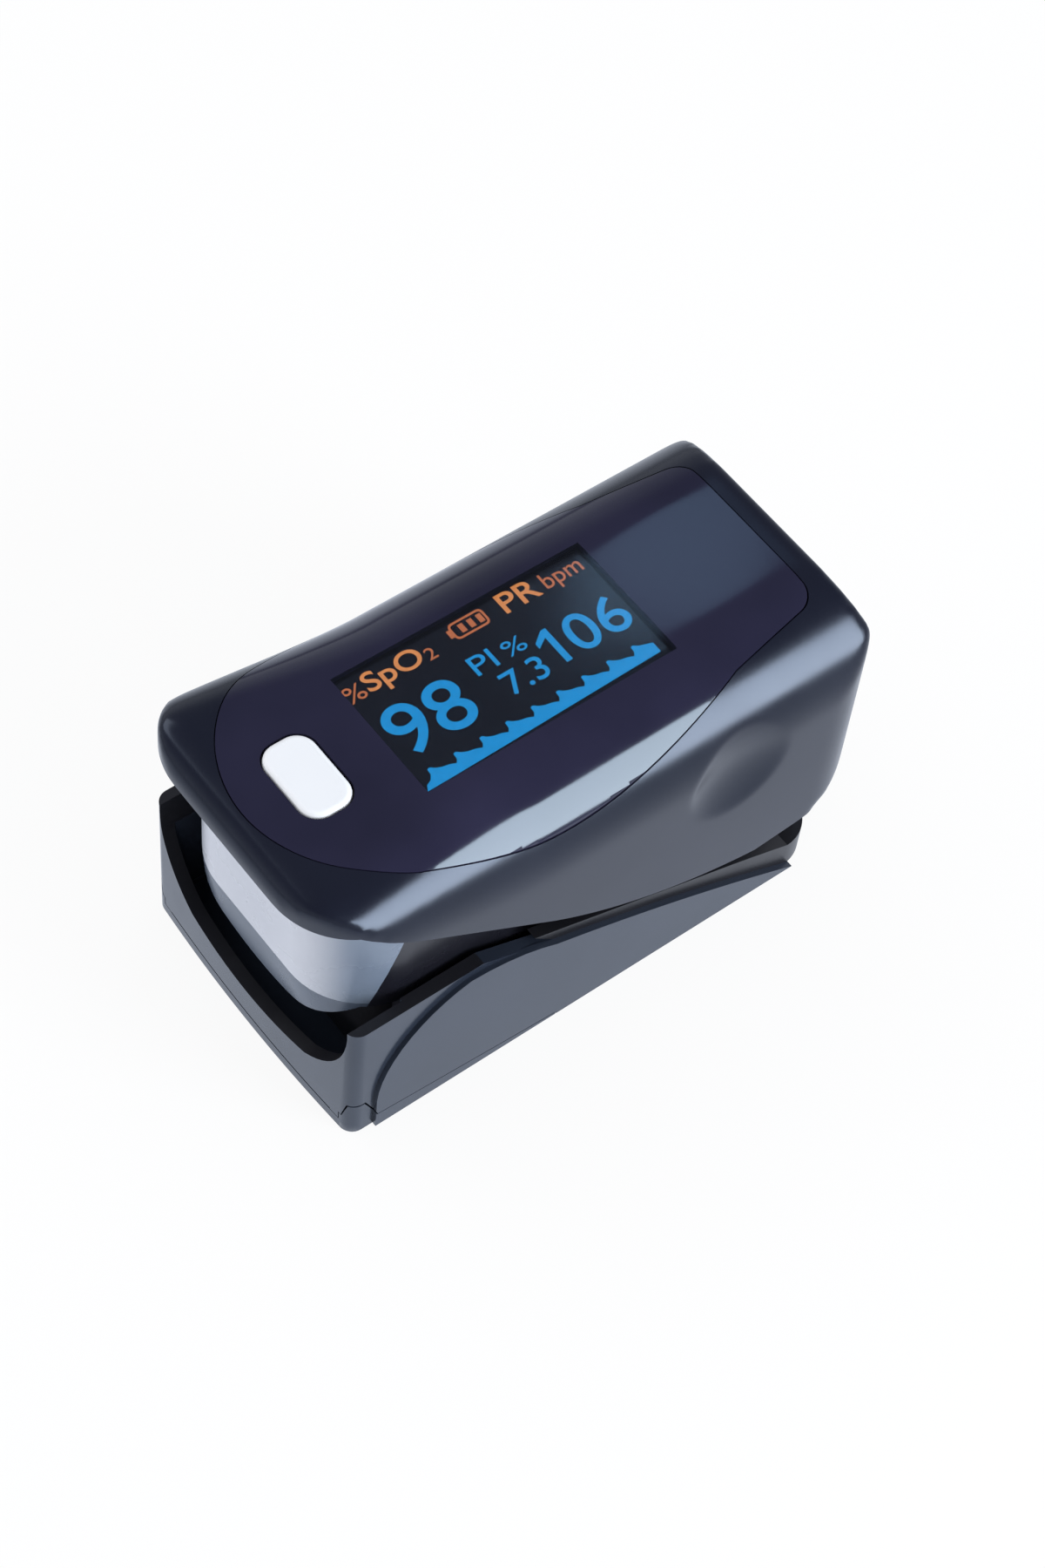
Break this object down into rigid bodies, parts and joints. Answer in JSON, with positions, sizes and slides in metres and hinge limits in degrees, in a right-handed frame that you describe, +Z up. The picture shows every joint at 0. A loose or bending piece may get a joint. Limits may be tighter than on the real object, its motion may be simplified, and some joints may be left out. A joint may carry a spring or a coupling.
{
  "type": "fingertip pulse oximeter",
  "caption": "Fingertip clip with two sprung jaws: display window and button on top, finger channel between the jaws, battery bay with sliding door below.",
  "frame": {"origin": "middle of the base, on the surface that the object stands on", "axes": "+X from the button end to the finger end, +Y left, +Z up through the display"},
  "size_m": [0.0606, 0.0308, 0.0333],
  "materials": {
    "top_cover": "high-gloss dark navy",
    "display_window": "high-gloss smoked lens",
    "oled_display": "black display glass",
    "display_tape": "black foam tape",
    "main_board": "green solder mask",
    "board_chips": "black epoxy",
    "power_switch": "metal dome switch",
    "upper_housing": "satin grey",
    "upper_finger_pad": "soft black silicone",
    "led_emitter": "clear epoxy over dies",
    "emitter_lens": "clear window",
    "cover_screws": "zinc plated",
    "power_button": "glossy white",
    "lower_shell": "gloss dark slate",
    "battery_door": "gloss dark slate",
    "lower_frame": "satin black",
    "lower_finger_pad": "soft black silicone",
    "sensor_board": "green solder mask",
    "photodiode": "dark epoxy",
    "sensor_lens": "clear window",
    "battery_left": "printed sleeve",
    "battery_right": "printed sleeve",
    "front_contact_plate": "nickel plated",
    "rear_contact_plate": "nickel plated",
    "battery_springs": "nickel plated",
    "jaw_spring_left": "spring steel",
    "jaw_spring_right": "spring steel",
    "hinge_pin_left": "ground steel",
    "hinge_pin_right": "ground steel",
    "flex_cable": "amber polyimide",
    "frame_screws": "zinc plated"
  },
  "bodies": {
    "lower_jaw": {"lower_shell": "lower_shell", "lower_frame": "lower_frame", "lower_finger_pad": "lower_finger_pad", "sensor_board": "sensor_board", "photodiode": "photodiode", "sensor_lens": "sensor_lens", "battery_left": "battery_left", "battery_right": "battery_right", "front_contact_plate": "front_contact_plate", "rear_contact_plate": "rear_contact_plate", "battery_springs": "battery_springs", "jaw_spring_left": "jaw_spring_left", "jaw_spring_right": "jaw_spring_right", "hinge_pin_left": "hinge_pin_left", "hinge_pin_right": "hinge_pin_right", "flex_cable": "flex_cable", "frame_screws": "frame_screws"},
    "upper_jaw": {"top_cover": "top_cover", "display_window": "display_window", "oled_display": "oled_display", "display_tape": "display_tape", "main_board": "main_board", "board_chips": "board_chips", "power_switch": "power_switch", "upper_housing": "upper_housing", "upper_finger_pad": "upper_finger_pad", "led_emitter": "led_emitter", "emitter_lens": "emitter_lens", "cover_screws": "cover_screws"},
    "button": {"power_button": "power_button"},
    "door": {"battery_door": "battery_door"}
  },
  "joints": [
    {"name": "jaw_hinge", "type": "hinge", "parent": "lower_jaw", "child": "upper_jaw", "pos_m": [0, 0, 0.016], "axis": [0, -1, 0], "range_deg": [0, 7.5], "stiffness_Nm_per_rad": 0.6, "springref_deg": -20.05, "deforming": ["jaw_spring_left", "jaw_spring_right", "flex_cable"]},
    {"name": "button_press", "type": "slide", "parent": "upper_jaw", "child": "button", "axis": [0, 0, -1], "range_m": [0, 0.0004], "stiffness_N_per_m": 800, "springref_m": -0.0005},
    {"name": "battery_door_slide", "type": "slide", "parent": "lower_jaw", "child": "door", "axis": [-1, 0, 0], "range_m": [0, 0.062]}
  ]
}
